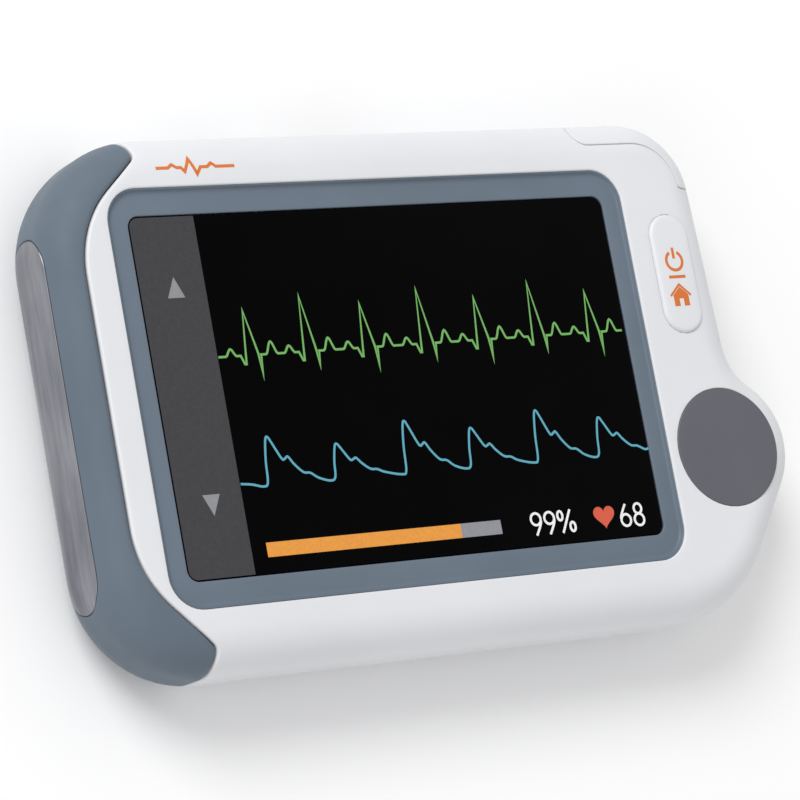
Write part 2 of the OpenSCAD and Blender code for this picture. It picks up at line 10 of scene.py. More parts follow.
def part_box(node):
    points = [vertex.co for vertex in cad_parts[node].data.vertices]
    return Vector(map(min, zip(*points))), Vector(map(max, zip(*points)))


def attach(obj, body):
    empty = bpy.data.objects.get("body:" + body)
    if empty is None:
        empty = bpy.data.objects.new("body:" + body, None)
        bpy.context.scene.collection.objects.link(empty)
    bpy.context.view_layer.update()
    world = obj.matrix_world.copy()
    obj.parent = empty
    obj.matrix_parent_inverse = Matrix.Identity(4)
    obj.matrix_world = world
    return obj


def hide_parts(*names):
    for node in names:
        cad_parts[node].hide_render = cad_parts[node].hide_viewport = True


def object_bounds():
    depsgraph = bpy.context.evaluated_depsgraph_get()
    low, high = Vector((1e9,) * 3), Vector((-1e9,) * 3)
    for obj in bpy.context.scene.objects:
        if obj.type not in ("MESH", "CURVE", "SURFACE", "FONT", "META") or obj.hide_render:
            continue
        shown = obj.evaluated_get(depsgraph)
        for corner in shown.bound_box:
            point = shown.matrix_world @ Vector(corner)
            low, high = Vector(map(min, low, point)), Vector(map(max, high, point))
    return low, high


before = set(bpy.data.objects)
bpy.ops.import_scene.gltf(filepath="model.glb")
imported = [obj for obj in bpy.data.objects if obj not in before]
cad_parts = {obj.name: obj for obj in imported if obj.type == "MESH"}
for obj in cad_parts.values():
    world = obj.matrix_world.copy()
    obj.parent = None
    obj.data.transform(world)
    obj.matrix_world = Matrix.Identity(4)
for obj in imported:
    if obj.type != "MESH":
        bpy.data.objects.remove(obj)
CAD_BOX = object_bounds()

# Shapes are worked out in millimetres, in the frame's own axes, and scaled when a mesh is made.
MM = 0.001


def box_mm(node):
    low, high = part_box(node)
    return np.array(low) / MM, np.array(high) / MM


# ---- sizes

HALF_L = CAD_BOX[1][0] / MM
HALF_W = CAD_BOX[1][1] / MM
FRONT_Z = 12.6  # front face, with the key and the thumb pad standing above it
FRONT_ROUND = 4.5
BACK_ROUND = 5.5
WALL = 1.5
SPLIT_Z = 6.3  # where the two shells meet
GAP = 0.12  # round the flap
FIT = 0.03  # round parts that are set in
FAR_X, FAR_Y = 60, 40  # outside the case

# Plan curves are belts round circles (x, y, radius). A belt bends inward round a negative radius.
OUTLINE = [
    (-HALF_L + 12, -HALF_W + 12, 12),
    (25.4, -HALF_W + 15, 15),
    (HALF_L - 8.7, -9.4, 8.7),
    (HALF_L - 0.5, 2.1, -5.4),
    (29, HALF_W - 8.5, 8.5),
    (-HALF_L + 13, HALF_W - 13, 13),
]
GRIP_REGION = [
    (-FAR_X, -FAR_Y, 0),
    (-34.6, -FAR_Y, 0),
    (-34, -25.9, 1.3),
    (-28.6, -12.7, -11.7),
    (-28.6, 13.2, -11.7),
    (-33.9, 26, 1.3),
    (-33.9, FAR_Y, 0),
    (-FAR_X, FAR_Y, 0),
]
GRIP_SKIN = 0.97  # thickness of the grip and of the palm plate

HINGE = np.array([23.4, HALF_W - 1.5])
HINGE_ROUND = 1.5
FLAP_T = 1.2
FLAP_ARC = np.array([29.0, HALF_W - 8.5])
FLAP_ARC_R = 5.5
FLAP_END_Y = FLAP_ARC[1] + 0.2
CHANNEL_X, CHANNEL_Y, CHANNEL_R = 25.37, 24.4, 4.63  # fingertip's channel behind the flap

CELL = 0.45  # mesh steps: along the outline, round its bends, and in the flat faces
TURN_STEP = math.radians(3)
FRONT_CELL, BACK_CELL = 0.9, 1.1
SNAP = 0.003  # a point this near to a cut lies on it

ELSEWHERE = -9.0  # a field's value on the side of the case that it isn't meant for


# ---- plan curves

def heading(a, b):
    dx = b[0] - a[0]
    dy = b[1] - a[1]
    return math.atan2(dy, dx) + math.asin((a[2] - b[2]) / math.hypot(dx, dy))


def turned(a, b):
    return (b - a + math.pi) % (2 * math.pi) - math.pi


def belt(circles, cell=CELL):
    """Rows of x, y, nx, ny: points round a belt of circles, with their outward directions."""
    count = len(circles)
    heads = [heading(circles[i], circles[(i + 1) % count]) for i in range(count)]
    rows = []
    for i, (x, y, r) in enumerate(circles):
        start = heads[i - 1]
        turn = turned(start, heads[i])
        steps = 0
        if r != 0:
            steps = max(2, math.ceil(abs(turn) / TURN_STEP), math.ceil(abs(r * turn) / cell))
        for k in range(steps + 1):
            a = start + turn * k / max(steps, 1)
            rows.append((x + r * math.sin(a), y - r * math.cos(a), math.sin(a), -math.cos(a)))
        after = circles[(i + 1) % count]
        nx, ny = math.sin(heads[i]), -math.cos(heads[i])
        p0 = np.array([x + r * nx, y + r * ny])
        p1 = np.array([after[0] + after[2] * nx, after[1] + after[2] * ny])
        pieces = max(1, round(np.linalg.norm(p1 - p0) / cell))
        for k in range(1, pieces):
            p = p0 + (p1 - p0) * k / pieces
            rows.append((p[0], p[1], nx, ny))
    return np.array(rows)


def arc(centre, r, a0, a1, steps):
    """Points on an arc between two angles in degrees."""
    a = np.radians(np.linspace(a0, a1, steps + 1))
    return np.stack([centre[0] + r * np.cos(a), centre[1] + r * np.sin(a)], 1)


def flap_loop(grow):
    """Edge of the flap's plan region, grown by a gap."""
    return np.concatenate([
        [[HINGE[0] - grow / 2, FAR_Y]],
        arc(HINGE, HINGE_ROUND + grow, 90, 270, 40),
        arc(FLAP_ARC, FLAP_ARC_R - grow, 90, 2, 60),
        [[FAR_X, FLAP_END_Y - grow], [FAR_X, FAR_Y]],
    ])


def round_rect(centre, w, h, r, steps=12):
    """Closed loop of a rectangle with round corners."""
    loop = []
    for quarter, (sx, sy) in enumerate([(1, 1), (-1, 1), (-1, -1), (1, -1)]):
        corner = (centre[0] + sx * (w / 2 - r), centre[1] + sy * (h / 2 - r))
        loop.append(arc(corner, r, 90 * quarter, 90 * quarter + 90, steps))
    return np.concatenate(loop)


def circle_loop(centre, r, steps=24):
    return arc(centre, r, 0, 360, steps)[:-1]


# ---- signed distances, positive inside

def loop_distance(loop):
    """Distance to the edge of a closed plan curve."""
    a = np.asarray(loop, float)
    b = np.roll(a, -1, 0)
    d = b - a
    tiny = 1e-12
    batch = 4000
    long = np.maximum((d * d).sum(1), tiny)

    def distance(p):
        out = np.empty(len(p))
        for s in range(0, len(p), batch):
            q = p[s:s + batch, None, :2]
            t = np.clip(((q - a) * d).sum(2) / long, 0, 1)
            near = np.sqrt(((q - a - t[..., None] * d) ** 2).sum(2)).min(1)
            y = q[..., 1]
            spans = (a[:, 1] > y) != (b[:, 1] > y)
            rise = np.where(d[:, 1] == 0, tiny, d[:, 1])
            x = a[:, 0] + (y - a[:, 1]) * d[:, 0] / rise
            inside = ((spans & (q[..., 0] < x)).sum(1) % 2).astype(bool)
            out[s:s + batch] = np.where(inside, near, -near)
        return out

    return distance


def rect_distance(centre, w, h, r, axes=(0, 1)):
    """Distance to the edge of a rectangle with round corners, in the plane of two axes."""
    def distance(p):
        qx = np.abs(p[:, axes[0]] - centre[0]) - (w / 2 - r)
        qy = np.abs(p[:, axes[1]] - centre[1]) - (h / 2 - r)
        corner = np.hypot(np.maximum(qx, 0), np.maximum(qy, 0))
        return r - corner - np.minimum(np.maximum(qx, qy), 0)

    return distance


def on_side(distance, axis, sign):
    """The same distance, on one side of the case only."""
    return lambda p: np.where(sign * p[:, axis] > 0, distance(p), ELSEWHERE)


def outside(distance, grow=0.0):
    return lambda p: -distance(p) - grow


def inside(distance, shrink=0.0):
    return lambda p: distance(p) - shrink


# ---- the case's skin

class Skin:
    """Polygons on the case's outer surface, with the surface's outward direction at each point."""

    def __init__(self, points, normals, faces):
        self.p = np.asarray(points, float)
        self.n = np.asarray(normals, float)
        self.faces = faces


def along_surface(field, p, n):
    """Field's value near its edge as a distance measured along the surface."""
    edge_band, least_slope = 0.9, 0.35
    value = field(p)
    near = np.abs(value) < edge_band
    if not near.any():
        return value
    q, m = p[near], n[near]
    h = 0.01
    grad = np.empty_like(q)
    for k in range(3):
        step = np.zeros(3)
        step[k] = h
        grad[:, k] = (field(q + step) - field(q - step)) / (2 * h)
    grad -= (grad * m).sum(1, keepdims=True) * m
    slope = np.linalg.norm(grad, axis=1)
    value[near] = value[near] / np.clip(slope, least_slope, 1.0)
    return value


def crossing(skin, field, level, pairs):
    """New points where the field passes the level between pairs of points."""
    i, j = pairs.T
    a, b, na, nb = skin.p[i], skin.p[j], skin.n[i], skin.n[j]
    low, high = np.zeros(len(pairs)), np.ones(len(pairs))
    rising = along_surface(field, a, na) < level
    for _ in range(14):
        t = (low + high) / 2
        mid = a + (b - a) * t[:, None]
        below = along_surface(field, mid, na + (nb - na) * t[:, None]) < level
        first = below == rising
        low = np.where(first, t, low)
        high = np.where(first, high, t)
    t = ((low + high) / 2)[:, None]
    normal = na + (nb - na) * t
    return a + (b - a) * t, normal / np.linalg.norm(normal, axis=1, keepdims=True)


def sides(face):
    return zip(face, face[1:] + face[:1])


def split_faces(faces, value, mid):
    """Each face's part above the level and its part below."""
    made = []
    for face in faces:
        above, under = [], []
        for i, j in sides(face):
            if value[i] >= 0:
                above.append(i)
            if value[i] <= 0:
                under.append(i)
            if value[i] * value[j] < 0:
                m = mid[(min(i, j), max(i, j))]
                above.append(m)
                under.append(m)
        made += [tuple(x) for x in (above, under) if len(x) > 2]
    return made


def flat_faces(faces):
    """All corners of the faces in one list, and where each face starts in it."""
    sizes = np.fromiter((len(f) for f in faces), int, len(faces))
    corners = np.fromiter((i for f in faces for i in f), int, int(sizes.sum()))
    return corners, np.concatenate([[0], np.cumsum(sizes)[:-1]])


def slice_skin(skin, field, level):
    """The skin with every polygon that crosses the level cut in two along it."""
    value = along_surface(field, skin.p, skin.n) - level
    value[np.abs(value) < SNAP] = 0
    corners, starts = flat_faces(skin.faces)
    crossed = np.minimum.reduceat(value[corners], starts) < 0
    crossed &= np.maximum.reduceat(value[corners], starts) > 0
    cut = []
    for index in np.flatnonzero(crossed):
        face = skin.faces[index]
        if sum(value[i] * value[j] < 0 for i, j in sides(face)) > 2:
            cut += [(face[0], face[k], face[k + 1]) for k in range(1, len(face) - 1)]
        else:
            cut.append(face)
    pairs = {}
    for face in cut:
        for i, j in sides(face):
            if value[i] * value[j] < 0:
                pairs.setdefault((min(i, j), max(i, j)), len(pairs))
    if not pairs:
        return skin
    order = np.array(list(pairs))
    points, normals = crossing(skin, field, level, order)
    first = len(skin.p)
    mid = {key: first + k for key, k in pairs.items()}
    faces = [f for f, c in zip(skin.faces, crossed) if not c] + split_faces(cut, value, mid)
    return Skin(np.concatenate([skin.p, points]), np.concatenate([skin.n, normals]), faces)


def keep_side(skin, field):
    """The part of the skin where the field is positive."""
    corners, starts = flat_faces(skin.faces)
    sizes = np.diff(np.append(starts, len(corners)))
    middles = np.add.reduceat(skin.p[corners], starts) / sizes[:, None]
    faces = [f for f, value in zip(skin.faces, field(middles)) if value > 0]
    return compact(Skin(skin.p, skin.n, faces))


def compact(skin):
    used = sorted({i for f in skin.faces for i in f})
    index = {i: k for k, i in enumerate(used)}
    faces = [tuple(index[i] for i in f) for f in skin.faces]
    return Skin(skin.p[used], skin.n[used], faces)


def disc(skin_points, ring, z, normal_z, loops, empty, cell):
    """Points, normals and triangles that fill a flat face inside a ring of the skin's points.

    Loops are closed curves that the triangles follow. Where the empty field is positive, the face
    gets no points of its own, because it is cut away later.
    """
    from_edge, from_mark, row_share = 0.3, 0.6, 0.87
    ring_xy = skin_points[ring][:, :2]
    in_ring = loop_distance(ring_xy)
    marks = np.concatenate([np.zeros((0, 2))] + loops)
    xs = np.arange(-HALF_L, HALF_L, cell)
    ys = np.arange(-HALF_W, HALF_W, cell * row_share)
    grid = np.array([(x + (k % 2) * cell / 2, y) for k, y in enumerate(ys) for x in xs])
    grid = grid[in_ring(grid) > from_edge]
    if empty is not None:
        grid = grid[empty(grid) < 0]
    to_mark = np.array([np.hypot(marks[:, 0] - x, marks[:, 1] - y).min() for x, y in grid])
    grid = grid[to_mark > cell * from_mark]
    verts = [Vector(p) for p in np.concatenate([ring_xy, marks, grid])]
    edges, at = [], len(ring)
    for loop in loops:
        edges += [(at + k, at + (k + 1) % len(loop)) for k in range(len(loop))]
        at += len(loop)
    out, _, faces, source, _, _ = delaunay_2d_cdt(verts, edges, [list(range(len(ring)))], 1, 1e-5)
    points, index = [], []
    for k, v in enumerate(out):
        if source[k] and source[k][0] < len(ring):
            index.append(ring[source[k][0]])
        else:
            index.append(len(skin_points) + len(points))
            points.append((v[0], v[1], z))
    triangles = [tuple(index[i] for i in f) for f in faces]
    return points, [(0, 0, normal_z)] * len(points), triangles


def profile():
    """Case's section from the front round to the back: height, inset, normal out, normal up."""
    front_steps, straight, back_steps = 16, 6, 18
    rows = []
    for k in range(front_steps + 1):
        a = math.pi / 2 * (1 - k / front_steps)
        z = FRONT_Z - FRONT_ROUND + FRONT_ROUND * math.sin(a)
        rows.append((z, FRONT_ROUND * (1 - math.cos(a)), math.cos(a), math.sin(a)))
    top, low = FRONT_Z - FRONT_ROUND, BACK_ROUND
    rows += [(top + (low - top) * k / straight, 0, 1, 0) for k in range(1, straight)]
    for k in range(back_steps + 1):
        a = math.pi / 2 * k / back_steps
        z = BACK_ROUND - BACK_ROUND * math.sin(a)
        rows.append((z, BACK_ROUND * (1 - math.cos(a)), math.cos(a), -math.sin(a)))
    return rows


def case_skin(front_loops, front_empty, back_loops):
    """Closed skin round the whole case: bands of quads at the side and a disc on each face."""
    columns = belt(OUTLINE)
    rows = profile()
    count = len(columns)
    points, normals, faces = [], [], []
    for z, inset, out, up in rows:
        for x, y, nx, ny in columns:
            points.append((x - inset * nx, y - inset * ny, z))
            normals.append((nx * out, ny * out, up))
    for j in range(len(rows) - 1):
        for i in range(count):
            a, b = j * count + i, j * count + (i + 1) % count
            faces.append((a, a + count, b + count, b))
    front = list(range(count))
    back = list(range((len(rows) - 1) * count, len(rows) * count))
    for ring, z, up, loops, empty, cell in (
            (front, FRONT_Z, 1, front_loops, front_empty, FRONT_CELL),
            (back, 0, -1, back_loops, None, BACK_CELL)):
        p, n, f = disc(np.array(points), ring, z, up, loops, empty, cell)
        points += p
        normals += n
        faces += f
    return Skin(points, normals, faces)


# ---- solids

def fillet_levels(r, steps=4):
    """Distances from an edge at which a fillet of radius r is sliced."""
    return [r * (1 - math.cos(math.pi / 2 * k / steps)) for k in range(1, steps + 1)]


def fillet_drop(distance, r):
    d = np.clip(distance, 0, r)
    return r - np.sqrt(np.maximum(r * r - (r - d) ** 2, 0))


def edge_round(r, degrees):
    """Pairs of inset and drop round a quarter circle of radius r, from the side to the face."""
    return [(r * (1 - math.cos(a)), r * (1 - math.sin(a))) for a in np.radians(degrees)]


def panel(skin, edges, depth, relief=None):
    """Closed solid from the skin where every field is positive.

    Edges are (field, edge radius). A relief is (field, amount, width): the surface sinks by the
    amount where that field is positive, over a slope of the width.
    """
    for field, _ in edges:
        skin = keep_side(slice_skin(skin, field, 0), field)
    for field, r in edges:
        for level in fillet_levels(r, 4 if r > 0.2 else 3):
            skin = slice_skin(skin, field, level)
    drop = np.zeros(len(skin.p))
    for field, r in edges:
        drop = np.maximum(drop, fillet_drop(along_surface(field, skin.p, skin.n), r))
    if relief:
        field, amount, width = relief
        for level in (0, width):
            skin = slice_skin(skin, field, level)
        drop = np.concatenate([drop, np.zeros(len(skin.p) - len(drop))])
        drop += amount * np.clip(field(skin.p) / width, 0, 1)
    outer = skin.p - skin.n * drop[:, None]
    inner = skin.p - skin.n * depth
    count = len(skin.p)
    edge_uses = {}
    for face in skin.faces:
        for i, j in sides(face):
            edge_uses.setdefault((min(i, j), max(i, j)), []).append((i, j))
    rims = [uses[0] for uses in edge_uses.values() if len(uses) == 1]
    faces = list(skin.faces)
    faces += [tuple(i + count for i in reversed(f)) for f in skin.faces]
    faces += [(j, i, i + count, j + count) for i, j in rims]
    return np.concatenate([outer, inner]), faces


def loft(rings, closed=False):
    """Solid through rings that have the same number of points."""
    size = len(rings[0])
    points = np.concatenate(rings)
    faces = []
    last = len(rings) if closed else len(rings) - 1
    for j in range(last):
        for i in range(size):
            a, b = j * size + i, j * size + (i + 1) % size
            k = ((j + 1) % len(rings)) * size - j * size
            faces.append((a, b, b + k, a + k))
    if not closed:
        faces.append(tuple(range(size - 1, -1, -1)))
        faces.append(tuple(range((len(rings) - 1) * size, len(rings) * size)))
    return points, faces


def at_height(loop, z):
    return np.column_stack([loop, np.full(len(loop), z)])


def tube(centre, r_out, r_in, z0, z1, steps=32):
    """Upright sleeve."""
    rings = [(r_out, z0), (r_out, z1), (r_in, z1), (r_in, z0)]
    return loft([at_height(circle_loop(centre, r, steps), z) for r, z in rings], closed=True)


def prism(loop, z0, z1):
    return loft([at_height(loop, z0), at_height(loop, z1)])


def rect(x0, y0, x1, y1):
    return np.array([(x0, y0), (x1, y0), (x1, y1), (x0, y1)])


def brick(low, high):
    x0, y0, z0 = low
    x1, y1, z1 = high
    return prism(rect(x0, y0, x1, y1), z0, z1)


def joined(parts):
    points, faces = [], []
    for p, f in parts:
        start = sum(len(q) for q in points)
        points.append(np.asarray(p, float))
        faces += [tuple(i + start for i in face) for face in f]
    return np.concatenate(points), faces


def ribbon(path, width, low, high, closed=False):
    """Flat stroke of even width along a plan path, with mitred bends."""
    path = np.asarray(path, float)
    ahead = np.roll(path, -1, 0) - path
    behind = path - np.roll(path, 1, 0)
    if not closed:
        ahead[-1] = behind[-1]
        behind[0] = ahead[0]
    ahead /= np.linalg.norm(ahead, axis=1, keepdims=True)
    behind /= np.linalg.norm(behind, axis=1, keepdims=True)
    side_a = np.column_stack([-ahead[:, 1], ahead[:, 0]])
    side_b = np.column_stack([-behind[:, 1], behind[:, 0]])
    mitre = side_a + side_b
    size = np.linalg.norm(mitre, axis=1, keepdims=True)
    mitre = mitre / np.maximum(size, 1e-6)
    reach = width / 2 / np.maximum(size / 2, 0.3)
    left, right = path + mitre * reach, path - mitre * reach
    sides_at = [(left, low), (left, high), (right, high), (right, low)]
    return loft(np.stack([at_height(c, z) for c, z in sides_at], 1), closed=closed)


def dense(path, step):
    """The same path with points no further apart than the step."""
    out = [np.asarray(path[0], float)]
    for a, b in zip(path[:-1], path[1:]):
        a, b = np.asarray(a, float), np.asarray(b, float)
        count = max(1, math.ceil(np.linalg.norm(b - a) / step))
        out += [a + (b - a) * k / count for k in range(1, count + 1)]
    return np.array(out)


def smooth_path(knots, steps=8):
    """Curve through the knots (Catmull-Rom)."""
    k = np.asarray(knots, float)
    k = np.concatenate([[2 * k[0] - k[1]], k, [2 * k[-1] - k[-2]]])
    out = []
    for i in range(1, len(k) - 2):
        for s in range(steps):
            t = s / steps
            out.append(0.5 * (2 * k[i] + (k[i + 1] - k[i - 1]) * t
                              + (2 * k[i - 1] - 5 * k[i] + 4 * k[i + 1] - k[i + 2]) * t ** 2
                              + (3 * k[i] - k[i - 1] - 3 * k[i + 1] + k[i + 2]) * t ** 3))
    out.append(k[-2])
    return np.array(out)


def piece(name, shape, material, body, stands_for=(), sharp=50):
    """Object made from a shape, riding on a body. Edges bent past the sharp angle stay crisp."""
    points, faces = shape
    mesh = bpy.data.meshes.new(name)
    mesh.from_pydata([tuple(p) for p in np.asarray(points) * MM], [], faces)
    bm = bmesh.new()
    bm.from_mesh(mesh)
    bmesh.ops.remove_doubles(bm, verts=bm.verts, dist=1e-8)
    bmesh.ops.recalc_face_normals(bm, faces=bm.faces)
    bm.to_mesh(mesh)
    bm.free()
    mesh.polygons.foreach_set("use_smooth", [True] * len(mesh.polygons))
    mesh.set_sharp_from_angle(angle=math.radians(sharp))
    mesh.materials.append(material)
    obj = bpy.data.objects.new(name, mesh)
    bpy.context.scene.collection.objects.link(obj)
    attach(obj, body)
    if stands_for:
        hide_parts(*stands_for)


# ---- materials

def linear(hex_colour):
    """Scene colour of a display colour written as rrggbb."""
    out = []
    for k in (0, 2, 4):
        c = int(hex_colour[k:k + 2], 16) / 255
        out.append(c / 12.92 if c <= 0.04045 else ((c + 0.055) / 1.055) ** 2.4)
    return (*out, 1.0)


def set_inputs(node, values):
    for socket, value in values.items():
        node.inputs[socket.replace("_", " ")].default_value = value


class Finish:
    """A node material with one Principled shader and patterns in object space."""

    def __init__(self, name, **sockets):
        self.material = bpy.data.materials.new(name)
        self.material.use_nodes = True
        self.nodes = self.material.node_tree.nodes
        self.links = self.material.node_tree.links
        self.shader = self.nodes["Principled BSDF"]
        set_inputs(self.shader, sockets)
        self.coords = self.nodes.new("ShaderNodeTexCoord").outputs["Object"]

    def node(self, kind, **values):
        node = self.nodes.new("ShaderNode" + kind)
        set_inputs(node, values)
        return node

    def stretched(self, scale):
        node = self.node("Mapping", Scale=scale)
        self.links.new(self.coords, node.inputs["Vector"])
        return node.outputs["Vector"]

    def noise(self, scale, detail, rough=0.55, vector=None):
        node = self.node("TexNoise", Scale=scale, Detail=detail, Roughness=rough)
        self.links.new(vector or self.coords, node.inputs["Vector"])
        return node.outputs["Fac"]

    def remap(self, value, low, high, start=0.3, end=0.7):
        """The value's run from start to end, spread from low to high."""
        node = self.node("MapRange", From_Min=start, From_Max=end, To_Min=low, To_Max=high)
        self.links.new(value, node.inputs["Value"])
        return node.outputs["Result"]

    def blend(self, factor, a, b):
        node = self.node("Mix")
        node.data_type = "RGBA"
        node.inputs["A"].default_value = a
        node.inputs["B"].default_value = b
        self.links.new(factor, node.inputs["Factor"])
        return node.outputs["Result"]

    def sum(self, a, b, share):
        node = self.node("Math")
        node.operation = "MULTIPLY_ADD"
        node.inputs[1].default_value = share
        self.links.new(b, node.inputs[0])
        self.links.new(a, node.inputs[2])
        return node.outputs["Value"]

    def colour(self, value):
        self.links.new(value, self.shader.inputs["Base Color"])

    def roughness(self, value):
        self.links.new(value, self.shader.inputs["Roughness"])

    def bump(self, height, depth):
        node = self.node("Bump", Distance=depth)
        self.links.new(height, node.inputs["Height"])
        self.links.new(node.outputs["Normal"], self.shader.inputs["Normal"])


def moulded(name, light, dark, rough, grain=5000, depth=3e-6, blotch=60, **sockets):
    """Moulded plastic: faint cloudy tone, uneven polish and a fine grain."""
    f = Finish(name, **sockets)
    f.colour(f.blend(f.remap(f.noise(blotch, 4), 0, 1), linear(light), linear(dark)))
    f.roughness(f.remap(f.noise(blotch * 9, 3), rough - 0.05, rough + 0.05))
    fine = f.noise(grain, 2)
    f.bump(f.sum(fine, f.noise(grain / 6, 2), 0.6), depth)
    return f.material


def metal(name, light, dark, rough, streak=(1, 1, 1), scale=900, depth=2e-6, **sockets):
    """Metal with streaks along the axis whose scale is smallest."""
    f = Finish(name, Metallic=1.0, **sockets)
    lines = f.stretched(streak)
    streaks = f.noise(scale, 5, 0.65, lines)
    clouds = f.noise(scale / 9, 4, 0.6)
    tone = f.remap(f.sum(streaks, clouds, 0.8), 0, 1, 0.65, 1.15)
    f.colour(f.blend(tone, linear(light), linear(dark)))
    f.roughness(f.remap(streaks, rough - 0.08, rough + 0.1))
    f.bump(streaks, depth)
    return f.material


def lit(name, colour, strength=1.0):
    """Lit picture elements behind the glass, with a faint dot pattern."""
    f = Finish(name, Specular_IOR_Level=0.1, Emission_Strength=strength)
    dots = f.remap(f.noise(3000, 1), 0, 1)
    bright = linear(colour)
    dim = tuple(c * 0.86 for c in bright[:3]) + (1.0,)
    f.links.new(f.blend(dots, bright, dim), f.shader.inputs["Emission Color"])
    f.colour(f.blend(dots, (0.02, 0.02, 0.02, 1), (0.03, 0.03, 0.03, 1)))
    f.roughness(f.remap(f.noise(1500, 2), 0.3, 0.4))
    return f.material


WHITE = moulded("case_plastic", "d8d9dc", "d4d5d8", 0.42, grain=4200, depth=2.2e-6,
                Specular_IOR_Level=0.45)
GRIP = moulded("grip_rubber", "5c6975", "56626e", 0.58, grain=6500, depth=5e-6,
               Specular_IOR_Level=0.32, Sheen_Weight=0.06, Sheen_Roughness=0.5)
BEZEL = moulded("bezel_plastic", "63707d", "5d6976", 0.42, grain=5200, depth=2.5e-6,
                Specular_IOR_Level=0.4)
STEEL = metal("electrode_satin", "a0a1a6", "73747c", 0.34, (1, 0.1, 1), 420, 2e-6)
THUMB = moulded("thumb_satin", "67676f", "606068", 0.5, grain=5200, depth=2.5e-6,
                Metallic=0.35, Specular_IOR_Level=0.4)


def glass_finish():
    f = Finish("cover_glass", Specular_IOR_Level=0.03)
    f.colour(f.blend(f.remap(f.noise(40, 3), 0, 1), linear("020203"), linear("040405")))
    f.roughness(f.remap(f.noise(120, 3), 0.05, 0.1))
    f.bump(f.noise(90, 2), 1e-6)
    return f.material


GLASS = glass_finish()

# Materials of the parts that are carried over from the CAD model, and of the label.
INNER = {
    "display": moulded("display_layer", "303034", "29292d", 0.3),
    "diffuser": moulded("diffuser_sheet", "e8e8e6", "dededa", 0.5),
    "inner_plastic": moulded("inner_plastic", "3a3a3e", "303034", 0.6, depth=5e-6),
    "holder_plastic": moulded("holder_plastic", "dad7ce", "cfccc2", 0.55, depth=4e-6),
    "film": moulded("polyimide_film", "b06a24", "9c5a1c", 0.35, grain=2500),
    "board": moulded("solder_mask", "1f6b45", "195a3a", 0.38, grain=2400, depth=6e-6),
    "chip": moulded("chip_epoxy", "2c2c2e", "232325", 0.6, depth=5e-6),
    "plain_steel": metal("bright_steel", "c4c4c6", "a4a4a8", 0.28, (1, 1, 0.15), 1600),
    "copper_alloy": metal("plated_copper", "d9b070", "c39552", 0.3, (0.2, 1, 1), 2200),
    "ceramic": moulded("fired_ceramic", "e6e6e0", "d9d9d2", 0.5),
    "foil": metal("pouch_foil", "cdd0d2", "b0b3b6", 0.36, (1, 1, 1), 260, 2e-5),
    "foam": moulded("pad_foam", "3c3c40", "2a2a2e", 0.9, grain=2600, depth=4e-5),
    "wire_cover": moulded("wire_cover", "a82a24", "8f201c", 0.45),
    "silicone": moulded("silicone_rubber", "565a61", "4b4f56", 0.7, grain=4200, depth=6e-6),
    "window_red": moulded("tinted_window", "6a1216", "560c10", 0.15, depth=5e-7,
                          Coat_Weight=0.6, Coat_Roughness=0.05),
    "label": metal("label_foil", "d0d2d6", "bcbec4", 0.4, (0.05, 1, 1), 1500),
}

SLOT_NODES = {
    "foam": "lcd_gasket battery_pad speaker_mesh",
    "display": "lcd_panel",
    "diffuser": "lcd_backlight",
    "holder_plastic": "lcd_holder",
    "film": "lcd_flex sensor_flex",
    "inner_plastic": "switch_body switch_plunger speaker_driver",
    "copper_alloy": "thumb_contact back_contact palm_contact socket_contacts",
    "board": "main_board",
    "chip": "board_chips",
    "ceramic": "radio_antenna",
    "foil": "battery_pouch",
    "wire_cover": "battery_leads speaker_leads",
    "plain_steel": "shield_can data_socket strap_bar case_screws hinge_pin hinge_spring",
    "silicone": "flap_pad finger_liner",
    "window_red": "emitter_window detector_window",
}


def paint_cad_nodes():
    for slot, nodes in SLOT_NODES.items():
        for node in nodes.split():
            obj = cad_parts[node]
            obj.data.materials.clear()
            obj.data.materials.append(INNER[slot])


# ---- places

def place(node):
    """A node's lowest and highest corner, and its middle and size seen from the front."""
    low, high = box_mm(node)
    return low, high, (low + high)[:2] / 2, (high - low)[:2]


BEZEL_LOW, _, BEZEL_MID, BEZEL_SIZE = place("screen_bezel")
BEZEL_R = 3.6
GLASS_LOW, GLASS_HIGH, GLASS_MID, GLASS_SIZE = place("touch_glass")
GLASS_R = 1.2
GLASS_Z = GLASS_HIGH[2]
KEY_MID = np.array([31.5, 9.9])
KEY_SIZE = np.array([5.1, 13.4])
KEY_TOP = box_mm("home_key")[1][2]
THUMB_LOW, THUMB_HIGH, THUMB_MID, THUMB_SIZE = place("thumb_electrode")
THUMB_R = THUMB_SIZE[0] / 2
BACK_LOW, _, BACK_MID, BACK_SIZE = place("back_electrode")
LABEL_LOW, LABEL_HIGH, LABEL_MID, LABEL_SIZE = place("rating_label")
PALM_MID = (-0.7, 6.2)  # in y and z
PALM_SIZE = (38.6, 7.4)
SCREWS = [(-27.5, 23.4), (-27.5, -23.4), (14, 23.4), (19, -23.4)]
SCREW_WELL_R = 1.62
BOSS_R, BOSS_BORE = 2.1, 0.82
BOARD_POSTS = [(-33, 17.4), (-33, -17.4), (9, 18), (8.6, -18.2), (33, -9.8)]
SPEAKER = (24, -14.2)
SOUND_HOLES = [SPEAKER] + [tuple(p) for p in arc(SPEAKER, 2, 0, 300, 5)]
SOUND_R = 0.5
STRAP_X, STRAP_W, STRAP_Y0, STRAP_Z1 = -18.0, 5.0, 23.3, 4.2
SOCKET_LOW, SOCKET_HIGH = box_mm("data_socket")

# Radii of the shells' edges: at the grip, at their seam and round the holes in their flat faces.
RIM_R = 0.3
SEAM_R = 0.12
BEZEL_HOLE_R = 0.22
BACK_HOLE_R = 0.12
SOUND_HOLE_R = 0.08
BACK_FIT = 0.04


# ---- fields

